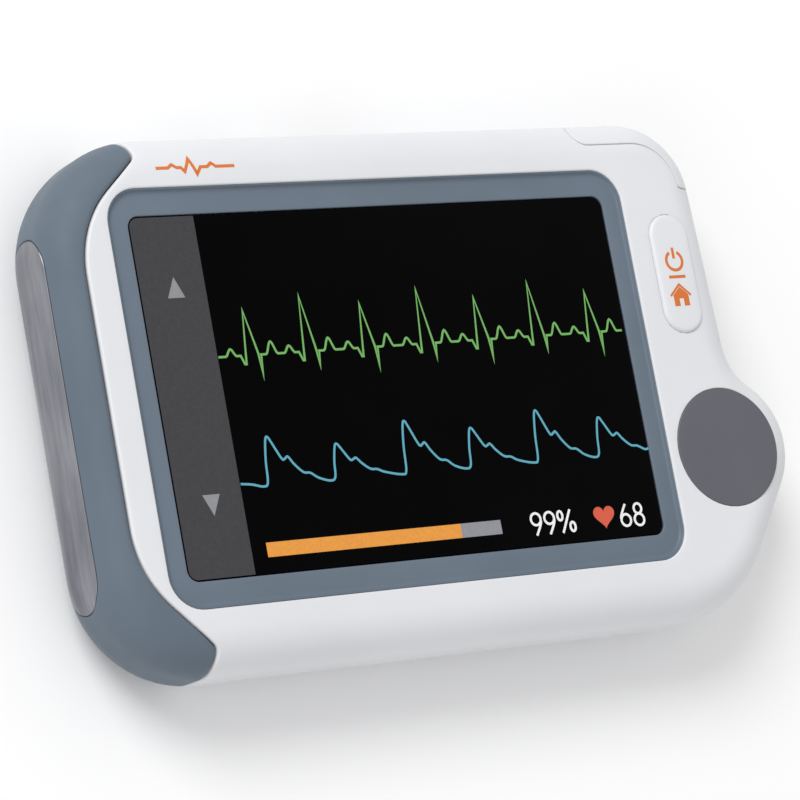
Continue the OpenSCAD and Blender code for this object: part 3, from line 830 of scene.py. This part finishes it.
grip_field = loop_distance(belt(GRIP_REGION, 1.0)[:, :2])
flap_field = loop_distance(flap_loop(0))
bezel_field = on_side(rect_distance(BEZEL_MID, *BEZEL_SIZE, BEZEL_R), 2, 1)
key_field = on_side(rect_distance(KEY_MID, *KEY_SIZE, KEY_SIZE[0] / 2), 2, 1)
thumb_field = rect_distance(THUMB_MID, 2 * THUMB_R, 2 * THUMB_R, THUMB_R)
palm_field = on_side(rect_distance(PALM_MID, *PALM_SIZE, PALM_SIZE[1] / 2, (1, 2)), 0, -1)
back_field = rect_distance(BACK_MID, *BACK_SIZE, BACK_SIZE[0] / 2)
label_field = rect_distance(LABEL_MID, *(LABEL_SIZE + 0.2), 0.8)


def front_half(p):
    return p[:, 2] - SPLIT_Z - FIT / 2


def back_half(p):
    return SPLIT_Z - FIT / 2 - p[:, 2]


def label_recess(p):
    return np.where(p[:, 2] < 1, label_field(p), ELSEWHERE)


def well_field(centre, r):
    hole = rect_distance(centre, 2 * r, 2 * r, r)
    return lambda p: np.where(p[:, 2] < SPLIT_Z, hole(p), ELSEWHERE)


def strap_field(p):
    across = STRAP_W / 2 - np.abs(p[:, 0] - STRAP_X)
    return np.minimum(np.minimum(across, p[:, 1] - STRAP_Y0), STRAP_Z1 - p[:, 2])


def socket_field(p):
    mid = ((SOCKET_LOW + SOCKET_HIGH) / 2)[[0, 2]]
    size = (SOCKET_HIGH - SOCKET_LOW)[[0, 2]] + 2 * FIT
    hole = rect_distance(mid, *size, 0.25, (0, 2))
    return np.where(p[:, 1] > 0, hole(p), ELSEWHERE)


# ---- the case

def wall_span(points):
    """Lowest and highest place in the walls over plan points, and which points are in the case."""
    inset = loop_distance(belt(OUTLINE)[:, :2])(np.asarray(points))
    half = WALL / 2
    up = np.sqrt(np.maximum((FRONT_ROUND - half) ** 2 - np.maximum(FRONT_ROUND - inset, 0) ** 2, 0))
    down = np.sqrt(np.maximum((BACK_ROUND - half) ** 2 - np.maximum(BACK_ROUND - inset, 0) ** 2, 0))
    return BACK_ROUND - down, FRONT_Z - FRONT_ROUND + up, inset > half


def seat_curve(grow):
    return np.concatenate([
        arc(HINGE, HINGE_ROUND + grow, 90, 270, 30),
        arc(FLAP_ARC, FLAP_ARC_R - grow, 90, 2, 44),
        [[x, FLAP_END_Y - grow] for x in np.linspace(34.7, 37.6, 8)],
    ])


def seat_wall(upper):
    """Wall behind the flap, notched for the finger channel: its upper or its lower half."""
    thick, least = 1, 0.05
    near, far = seat_curve(GAP), seat_curve(GAP + thick)
    columns = []
    low_n, high_n, in_n = wall_span(near)
    low_f, high_f, in_f = wall_span(far)
    for k in range(len(near)):
        if not (in_n[k] and in_f[k]):
            continue
        corners = []
        for (x, y), low, high in ((near[k], low_n[k], high_n[k]), (far[k], low_f[k], high_f[k])):
            reach = 0.0
            if x > CHANNEL_X:
                reach = math.sqrt(max(CHANNEL_R ** 2 - (y - CHANNEL_Y) ** 2, 0))
            if upper:
                corners.append((x, y, min(SPLIT_Z + reach, high - least), high))
            else:
                corners.append((x, y, low, max(SPLIT_Z - reach, low + least)))
        (xa, ya, la, ha), (xb, yb, lb, hb) = corners
        columns.append(np.array([(xa, ya, la), (xa, ya, ha), (xb, yb, hb), (xb, yb, lb)]))
    return loft(columns)


def hinge_ear(z0):
    """Ear that holds an end of the hinge pin, on an arm from the case's side."""
    ear_r, bore, arm, arm_half, thick = 0.9, 0.47, 4.2, 0.7, 0.8
    pivot = tube(HINGE, ear_r, bore, z0, z0 + thick)
    arm_low = (HINGE[0] - arm, HINGE[1] - arm_half, z0)
    arm_high = (HINGE[0] - 0.6, HINGE[1] + arm_half, z0 + thick)
    return joined([pivot, brick(arm_low, arm_high)])


def front_shell(skin):
    edges = [
        (front_half, SEAM_R),
        (outside(grip_field), RIM_R),
        (outside(flap_field, GAP), 0.1),
        (outside(bezel_field, FIT), BEZEL_HOLE_R),
        (outside(key_field, 0.025), 0.06),
        (outside(thumb_field, 0.02), 0.1),
    ]
    shell = panel(skin, edges, WALL)
    bosses = [tube(s, BOSS_R, BOSS_BORE, SPLIT_Z, FRONT_Z - WALL + 0.1) for s in SCREWS]
    inside_parts = bosses + [seat_wall(True), hinge_ear(8.3)]
    piece("front_shell", joined([shell] + inside_parts), WHITE, "case",
          ["front_housing"])


def strap_pocket():
    """Walls behind the strap's notch."""
    t = 1.2
    floor_z, roof_z, bar_y = 1.2, 5.4, 27.0
    low_x, high_x = STRAP_X - STRAP_W / 2, STRAP_X + STRAP_W / 2
    curve = arc((HALF_W - BACK_ROUND, BACK_ROUND), BACK_ROUND - 0.9, 0, -75, 12)
    side = np.concatenate([curve, [[STRAP_Y0 - t, 1.3], [STRAP_Y0 - t, BACK_ROUND]]])
    parts = []
    for x0, x1 in ((low_x - t, low_x), (high_x, high_x + t)):
        parts.append(loft([np.column_stack([np.full(len(side), x), side]) for x in (x0, x1)]))
    low_x, high_x = low_x - 0.1, high_x + 0.1
    parts.append(brick((low_x, STRAP_Y0 - t, floor_z), (high_x, STRAP_Y0, roof_z)))
    parts.append(brick((low_x, STRAP_Y0 - 0.1, STRAP_Z1), (high_x, bar_y, roof_z)))
    return parts


def rear_shell(skin):
    edges = [
        (back_half, SEAM_R),
        (outside(grip_field), RIM_R),
        (outside(flap_field, GAP), 0.1),
        (outside(back_field, BACK_FIT), BACK_HOLE_R),
        (outside(strap_field), 0.25),
        (outside(socket_field), 0.15),
    ]
    edges += [(outside(well_field(s, SCREW_WELL_R)), 0.15) for s in SCREWS]
    edges += [(outside(well_field(s, SOUND_R)), SOUND_HOLE_R) for s in SOUND_HOLES]
    shell = panel(skin, edges, WALL, relief=(label_recess, 0.14, 0.08))
    bosses = [tube(s, BOSS_R, BOSS_BORE, WALL - 0.1, SPLIT_Z) for s in SCREWS]
    posts = [tube(p, 1.1, 0.4, WALL - 0.1, 6.6) for p in BOARD_POSTS]
    inside_parts = bosses + posts + strap_pocket() + [seat_wall(False), hinge_ear(4.3)]
    piece("rear_shell", joined([shell] + inside_parts), WHITE, "case",
          ["rear_housing"])


def grip_cover(skin):
    edges = [(inside(grip_field, 0.12), 0.46), (outside(palm_field, FIT), 0.14)]
    piece("grip_cover", panel(skin, edges, GRIP_SKIN), GRIP, "case",
          ["grip_bumper"])


def palm_plate(skin):
    plate = panel(skin, [(palm_field, 0.22)], GRIP_SKIN)
    piece("palm_plate", plate, STEEL, "case", ["palm_electrode"])


def clip_flap(skin):
    """Sprung corner of the case, with the knuckle that turns on the hinge pin."""
    low, high = 6.5, 8.18
    flap = panel(skin, [(flap_field, 0.12)], FLAP_T)
    knuckle = tube(HINGE, 1.25, 0.5, low, high)
    web = brick((HINGE[0] + 0.5, HINGE[1] - 0.5, low), (HINGE[0] + 2.4, HINGE[1] + 0.7, high))
    piece("clip_flap", joined([flap, knuckle, web]), WHITE, "finger_clip",
          ["sensor_flap"])


# ---- screen

def bezel_frame():
    """Dished frame: a steep outer wall, a shallow slope and a small step at the glass.

    Its section is (share of the way from the bezel's outer edge to the glass, height).
    """
    section = [
        (0.0, BEZEL_LOW[2]), (0.0, 12.36), (0.006, 12.43), (0.02, 12.46), (0.036, 12.44),
        (0.055, 12.38), (0.08, 12.27), (0.105, 12.17), (0.135, 12.10), (0.18, 12.06), (0.26, 12.06),
        (0.4, 12.09), (0.6, 12.13), (0.8, 12.17), (0.92, 12.18), (0.955, 12.16), (0.97, 12.10),
        (0.97, BEZEL_LOW[2]),
    ]
    rings = []
    for u, z in section:
        size = BEZEL_SIZE + (GLASS_SIZE - BEZEL_SIZE) * u
        mid = BEZEL_MID + (GLASS_MID - BEZEL_MID) * u
        r = BEZEL_R + (GLASS_R - BEZEL_R) * u
        rings.append(at_height(round_rect(mid, size[0], size[1], r, 14), z))
    piece("bezel_frame", loft(rings, closed=True), BEZEL, "case",
          ["screen_bezel"], sharp=60)


def cover_glass():
    rings = [at_height(round_rect(GLASS_MID, *GLASS_SIZE, GLASS_R), GLASS_LOW[2])]
    for d, drop in edge_round(0.14, [0, 22.5, 45, 67.5, 90]):
        loop = round_rect(GLASS_MID, *(GLASS_SIZE - 2 * d), GLASS_R - d)
        rings.append(at_height(loop, GLASS_Z - drop))
    piece("cover_glass", loft(rings), GLASS, "case", ["touch_glass"])


INK_SUNK, INK_PROUD = 0.02, 0.012
INK_STEP = 0.004


def ink(level=0):
    """Low and high side of a lit layer on the glass. Layers that cross have different levels."""
    return GLASS_Z - INK_SUNK, GLASS_Z + INK_PROUD + INK_STEP * level


TRACE_LEFT = -26.9
TRACE_W = 0.24
ECG_BASE = 4.08


def bell(x, half_w, high):
    """Low rounded wave on the heart trace's base line."""
    t = np.linspace(-1, 1, 13)
    return [(x + half_w * k, ECG_BASE + high * math.cos(math.pi / 2 * k) ** 2) for k in t]


def ecg_path():
    """Seven beats: a low wave, a small dip, a sharp peak, a deep dip and a rounded wave after."""
    peaks = zip((-23.2, -16.3, -9.2, -2.0, 5.0, 12.1, 19.3), (8.8, 10.0, 8.8, 10.0, 8.7, 10.0, 8.6))
    path = [(TRACE_LEFT, ECG_BASE)]
    for x, top in peaks:
        deep = ECG_BASE - (2.4 if top < 9.5 else 1.7)
        path += bell(x - 2.2, 0.65, 0.75)
        path += [(x - 1.1, ECG_BASE), (x - 0.75, ECG_BASE - 0.9), (x - 0.58, ECG_BASE - 0.9)]
        path += [(x, top), (x + 1.0, ECG_BASE + 0.1), (x + 1.15, deep), (x + 1.3, ECG_BASE)]
        path += [(x + 1.75, ECG_BASE)]
        path += bell(x + 2.6, 0.72, 1.3)
    path.append((23.3, ECG_BASE))
    return path


def pulse_path():
    """Six pulse waves, each with a steep rise, a notch and a long fall."""
    base = -9.4
    peaks = [(-23, -4.5), (-15, -5.8), (-6.4, -4), (1.6, -5.3), (10.1, -4), (18, -5.3)]
    knots = [(TRACE_LEFT, base + 0.3), (-25.6, base + 0.15)]
    for x, top in peaks:
        high = top - base
        knots += [
            (x - 1.35, base - 0.15), (x - 0.75, base + 0.2), (x - 0.55, base + high * 0.5),
            (x - 0.2, base + high * 0.93), (x + 0.1, top), (x + 0.5, base + high * 0.86),
            (x + 1.35, base + high * 0.52), (x + 1.75, base + high * 0.52),
            (x + 2.1, base + high * 0.55), (x + 2.7, base + high * 0.38),
            (x + 3.6, base + high * 0.2), (x + 4.4, base + high * 0.17), (x + 5.3, base + 0.25),
        ]
    knots.append((23.8, base + 0.3))
    return smooth_path(knots, 6)


def triangle(centre, w, h):
    x, y = centre
    return np.array([(x - w / 2, y - h / 2), (x + w / 2, y - h / 2), (x, y + h / 2)])


def heart(centre, w):
    """Outline of a heart (the usual sine and cosine curve, 32 units wide)."""
    t = np.linspace(0, 2 * math.pi, 48, endpoint=False)
    x = 16 * np.sin(t) ** 3
    y = 13 * np.cos(t) - 5 * np.cos(2 * t) - 2 * np.cos(3 * t) - np.cos(4 * t)
    return np.column_stack([centre[0] + x * w / 32, centre[1] + (y + 2.5) * w / 32])


def ellipse(centre, rx, ry, steps=28):
    a = np.linspace(0, 2 * math.pi, steps, endpoint=False)
    return np.column_stack([centre[0] + rx * np.cos(a), centre[1] + ry * np.sin(a)])


def glyph(name):
    """Strokes of a numeral or of the per cent sign, one unit high: (path, closed)."""
    if name == "9":
        tail = [(0.555, 0.64), (0.53, 0.52), (0.44, 0.34), (0.33, 0.16), (0.23, 0.0)]
        return [(ellipse((0.3, 0.71), 0.25, 0.26), True), (smooth_path(tail, 4), False)]
    if name == "6":
        return [(np.array([0.6, 1.0]) - path, closed) for path, closed in glyph("9")]
    if name == "8":
        return [(ellipse((0.3, 0.755), 0.2, 0.22), True), (ellipse((0.3, 0.265), 0.25, 0.26), True)]
    slash = np.array([(0.2, 0.0), (0.72, 1.0)])
    rings = [ellipse(centre, 0.13, 0.2) for centre in ((0.17, 0.76), (0.75, 0.24))]
    return [(slash, False)] + [(ring, True) for ring in rings]


def numerals(text, x0):
    """Row of numerals in the screen's lower right corner."""
    y0, high, stroke, advance = -17.35, 2.45, 0.26, 0.7
    parts, level = [], 1
    for letter in text:
        for path, closed in glyph(letter):
            low, top = ink(level)
            parts.append(ribbon(np.asarray(path) * high + [x0, y0], stroke, low, top, closed))
            level += 1
        x0 += high * advance
    return joined(parts)


def side_strip():
    """Grey strip at the left end of the picture, round at the glass's corners only."""
    edge, right, round_w = 0.1, -27.0, 16
    left = GLASS_LOW[0] + edge
    low, high = GLASS_LOW[1] + edge, GLASS_HIGH[1] - edge
    loop = round_rect((left + round_w / 2, (low + high) / 2), round_w, high - low, 1.0, 8)
    loop[:, 0] = np.minimum(loop[:, 0], right)
    moved = np.linalg.norm(np.diff(loop, axis=0), axis=1) > 1e-6
    return loop[np.concatenate([[True], moved])]


def screen_picture():
    def show(name, shape, light, sharp=50):
        piece(name, shape, light, "case", sharp=sharp)

    show("screen_strip", prism(side_strip(), *ink()), lit("strip_light", "3d3d41", 0.7))
    arrows = [((-30.5, 11.6), 2.2), ((-30.5, -11.0), -2.2)]
    show("screen_arrows", joined([prism(triangle(at, 2.0, high), *ink(1)) for at, high in arrows]),
         lit("arrow_light", "96979b", 0.9))
    show("ecg_trace", ribbon(ecg_path(), TRACE_W, *ink()), lit("ecg_light", "6fb25a"), 30)
    show("pulse_trace", ribbon(pulse_path(), TRACE_W, *ink(1)), lit("pulse_light", "58a9bd"), 30)
    low, high = -16.8, -15.3
    left, done, right = -25.2, -1.8, 3.2
    show("bar_done", prism(rect(left, low, done, high), *ink()), lit("bar_light", "ea9a36"))
    show("bar_rest", prism(rect(done, low, right, high), *ink()), lit("bar_rest_light", "8f9096"))
    white = lit("numeral_light", "f4f4f4")
    show("oxygen_numerals", numerals("99%", 6.9), white, 30)
    show("rate_numerals", numerals("68", 18.4), white, 30)
    show("heart_sign", prism(heart((16.4, -16.15), 2.7), *ink()), lit("heart_light", "d9583b"))


# ---- key, electrodes, label

KEY_CROWN = 0.1


def key_height(x, y):
    """Top of the key: a soft crown that falls toward its sides and its ends."""
    across = (x - KEY_MID[0]) / (KEY_SIZE[0] / 2)
    past_straight = np.abs(y - KEY_MID[1]) - (KEY_SIZE[1] - KEY_SIZE[0]) / 2
    along = np.maximum(past_straight, 0) / (KEY_SIZE[0] / 2)
    return KEY_TOP - KEY_CROWN * (across ** 4 + along ** 4)


def stadium(centre, w, h, steps):
    """Closed loop of a bar with half-circle ends, kept just short of a full half circle."""
    return round_rect(centre, w, h, w / 2 - 0.001, steps)


def key_cap():
    base, flange_low, flange_top, stem_low = 10.3, 10.28, 11.08, 9.62
    rings = [at_height(stadium(KEY_MID, *KEY_SIZE, 14), base)]
    insets = edge_round(0.38, [0, 15, 30, 45, 60, 75, 90])
    insets += [(d, 0) for d in (0.7, 1.1, 1.5, 1.9, 2.25, 2.5)]
    for d, drop in insets:
        loop = stadium(KEY_MID, *(KEY_SIZE - 2 * d), 14)
        rings.append(np.column_stack([loop, key_height(loop[:, 0], loop[:, 1]) - drop]))
    flange = stadium(KEY_MID - [0.8, 0], KEY_SIZE[0], KEY_SIZE[1] + 1.6, 14)
    stem = circle_loop((31.5, 6.5), 1.2)
    parts = [loft(rings), prism(flange, flange_low, flange_top), prism(stem, stem_low, base)]
    piece("key_cap", joined(parts), WHITE, "home_key", ["home_key"])


def on_key(shape):
    """A flat drawing laid on the key's crown."""
    points, faces = shape
    points = np.array(points)
    points[:, 2] += key_height(points[:, 0], points[:, 1])
    return points, faces


def orange_ink(name):
    return moulded(name, "d2702a", "cb6a24", 0.5, depth=1e-6)


def key_signs():
    low, high, stroke_w, roof_w = -INK_SUNK, INK_PROUD, 0.34, 0.25
    x = KEY_MID[0] - 0.1
    ring = arc((x, 11.25), 1.05, 118, 422, 40)
    stroke = np.array([(x, 11.5), (x, 12.1), (x, 12.75)])
    bar = np.array([(x - 1.1, 9.45), (x, 9.45), (x + 1.1, 9.45)])
    wall, door = 1.0, 0.28
    ground, lintel, eaves, ridge = 6.15, 7.0, 7.4, 8.33
    house = np.array([
        (x - wall, ground), (x - door, ground), (x - door, lintel), (x + door, lintel),
        (x + door, ground), (x + wall, ground), (x + wall, eaves), (x, ridge), (x - wall, eaves),
    ])
    roof = np.array([(x - 1.35, 7.32), (x, 8.58), (x + 1.35, 7.32)])
    parts = [ribbon(line, stroke_w, low, high) for line in (ring, stroke, bar)]
    parts += [prism(house, low, high), ribbon(roof, roof_w, low, high + INK_STEP)]
    signs = joined([on_key(p) for p in parts])
    piece("key_signs", signs, orange_ink("sign_ink"), "home_key", sharp=30)


PAD_ROUND = [0, 22, 45, 67, 90]


def thumb_pad():
    """Disc with a slightly dished face, and its stud."""
    top, stud_top = THUMB_HIGH[2], 11.9
    stud = [(THUMB_R - 1, THUMB_LOW[2]), (THUMB_R - 1, stud_top), (0, stud_top)]
    side = [(d, top - drop) for d, drop in edge_round(0.12, PAD_ROUND)]
    dish = [(1.2, 0.015), (2.6, 0.05), (4.0, 0.08), (5.4, 0.095), (6.3, 0.1)]
    heights = stud + side + [(d, top - drop) for d, drop in dish]
    rings = [at_height(circle_loop(THUMB_MID, THUMB_R - d, 96), z) for d, z in heights]
    piece("thumb_pad", loft(rings), THUMB, "case", ["thumb_electrode"])


def back_pad():
    """Plate in the back with a slightly dished face, and its stud."""
    low, stud_low, stud_top = BACK_LOW[2], 0.88, 3.2
    stud = [(4.4, stud_top), (4.4, stud_low), (0, stud_low)]
    side = [(d, low + drop) for d, drop in edge_round(0.22, PAD_ROUND)]
    face = [(d, low + 0.012 * d) for d in (1.2, 2.6, 4.0, 5.2)]
    heights = stud + side + face
    rings = [at_height(stadium(BACK_MID, *(BACK_SIZE - 2 * d), 20), z) for d, z in heights]
    piece("back_pad", loft(rings), STEEL, "case", ["back_electrode"])


def label_plate():
    low, high = LABEL_LOW[2], LABEL_HIGH[2]
    rings = [
        at_height(round_rect(LABEL_MID, *LABEL_SIZE, 0.7), high),
        at_height(round_rect(LABEL_MID, *LABEL_SIZE, 0.7), low + 0.02),
        at_height(round_rect(LABEL_MID, *(LABEL_SIZE - 0.04), 0.68), low),
    ]
    piece("label_plate", loft(rings), INNER["label"], "case", ["rating_label"])


def pulse_sign():
    """Small plain pulse-line sign printed where the front face has room for a mark."""
    y = 24.0
    line = [
        (-30.6, y), (-29.2, y), (-28.7, y + 0.35), (-28.2, y), (-27.7, y), (-27.3, y - 0.45),
        (-26.6, y + 0.95), (-25.9, y - 0.75), (-25.4, y), (-24.6, y), (-24.1, y + 0.4), (-23.6, y),
        (-21.4, y),
    ]
    points, faces = ribbon(dense(line, 0.12), 0.34, -0.03, INK_PROUD)
    over = np.maximum(points[:, 1] - (HALF_W - FRONT_ROUND), 0)
    points[:, 2] += FRONT_Z - FRONT_ROUND + np.sqrt(FRONT_ROUND ** 2 - over ** 2)
    sign = (points, faces)
    piece("pulse_sign", sign, orange_ink("mark_ink"), "case", sharp=30)


# ---- stage

def stage():
    mesh = bpy.data.meshes.new("floor")
    s = 2.0  # half its side, in metres
    mesh.from_pydata(at_height(rect(-s, -s, s, s), 0), [], [(0, 1, 2, 3)])
    floor = bpy.data.objects.new("floor", mesh)
    f = Finish("floor_paper", Roughness=0.9, Specular_IOR_Level=0.1)
    f.colour(f.blend(f.remap(f.noise(3, 2), 0, 1), (0.90, 0.90, 0.905, 1), (0.88, 0.88, 0.885, 1)))
    mesh.materials.append(f.material)
    bpy.context.scene.collection.objects.link(floor)


def area_light(name, place, size, power):
    """Round lamp aimed at the monitor."""
    data = bpy.data.lights.new(name, "AREA")
    data.shape = "DISK"
    data.size = size
    data.energy = power
    light = bpy.data.objects.new(name, data)
    light.location = place
    light.rotation_euler = (-Vector(place)).to_track_quat("-Z", "Y").to_euler()
    bpy.context.scene.collection.objects.link(light)


def lights():
    world = bpy.data.worlds.new("world")
    world.use_nodes = True
    background = world.node_tree.nodes["Background"]
    background.inputs["Color"].default_value = (1.0, 1.0, 1.0, 1)
    background.inputs["Strength"].default_value = 0.72
    bpy.context.scene.world = world
    area_light("key_light", (-0.75, 0.85, 1.0), 0.8, 13.5)
    area_light("fill_light", (-0.9, -0.7, 0.7), 0.9, 2.0)


def camera():
    """Camera fitted to the photograph: its target, its distance in metres and its three angles."""
    distance = 0.4102
    data = bpy.data.cameras.new("camera")
    data.lens = 171.7
    data.sensor_width = 36
    data.clip_start = 0.01
    cam = bpy.data.objects.new("camera", data)
    target = Vector((0.94, 0.52, 0.70)) * MM
    azimuth, elevation, roll = map(math.radians, (-72.8, 56.2, 65.2))
    level = math.cos(elevation)
    back = Vector((math.sin(azimuth) * level, -math.cos(azimuth) * level, math.sin(elevation)))
    right = Vector((math.cos(azimuth), math.sin(azimuth), 0))
    right = Matrix.Rotation(roll, 3, back) @ right
    up = back.cross(right)
    place = target + back * distance
    cam.matrix_world = Matrix((
        (right.x, up.x, back.x, place.x),
        (right.y, up.y, back.y, place.y),
        (right.z, up.z, back.z, place.z),
        (0, 0, 0, 1),
    ))
    bpy.context.scene.collection.objects.link(cam)
    bpy.context.scene.camera = cam


# ---- build

def hole_slices(start, r, steps=4):
    """Where panel() slices round a hole: at its edge and along its fillet."""
    return [start + d for d in [0] + fillet_levels(r, steps)]


def build():
    hollow = rect_distance(BEZEL_MID, *BEZEL_SIZE, BEZEL_R)

    def front_empty(p):
        return hollow(p) - 0.2

    bezel_loops = [round_rect(BEZEL_MID, *(BEZEL_SIZE + 2 * g), BEZEL_R + g, 10)
                   for g in hole_slices(FIT, BEZEL_HOLE_R)]
    back_loops = [round_rect(BACK_MID, *(BACK_SIZE + 2 * g), BACK_SIZE[0] / 2 + g - 0.01, 24)
                  for g in hole_slices(BACK_FIT, BACK_HOLE_R, 3)]
    back_loops += [circle_loop(s, r, 20) for s in SOUND_HOLES
                   for r in hole_slices(SOUND_R, SOUND_HOLE_R, 3)]
    skin = case_skin(bezel_loops, front_empty, back_loops)
    front_shell(skin)
    rear_shell(skin)
    grip_cover(skin)
    palm_plate(skin)
    clip_flap(skin)
    bezel_frame()
    cover_glass()
    screen_picture()
    key_cap()
    key_signs()
    thumb_pad()
    back_pad()
    label_plate()
    pulse_sign()
    paint_cad_nodes()


build()
stage()
lights()
camera()
bpy.context.scene.view_settings.view_transform = "Standard"
